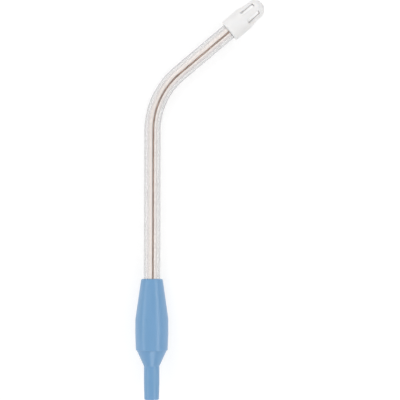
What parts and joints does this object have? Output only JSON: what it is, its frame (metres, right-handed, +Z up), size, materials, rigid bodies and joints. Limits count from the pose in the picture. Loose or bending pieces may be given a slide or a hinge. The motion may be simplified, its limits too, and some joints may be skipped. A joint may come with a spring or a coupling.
{
  "type": "saliva ejector",
  "caption": "Disposable dental saliva ejector: bent clear tube with a shaping wire in its wall, soft slotted tip cap and a blue moulded hose adapter.",
  "frame": {"origin": "centre of the bounding box's bottom face, on the table that the ejector rests on", "axes": "+Y from the adapter towards the tip, along the overall length; +X towards the side that the tip is bent to; +Z up from the table"},
  "size_m": [0.0516, 0.1596, 0.0134],
  "materials": {
    "clear_vinyl": "gloss",
    "coppered_wire": "satin",
    "white_vinyl": "satin",
    "blue_moulding": "satin"
  },
  "bodies": {
    "root": {"tube": "clear_vinyl", "shaping_wire": "coppered_wire", "tip_cap": "white_vinyl", "adapter": "blue_moulding"}
  },
  "joints": []
}
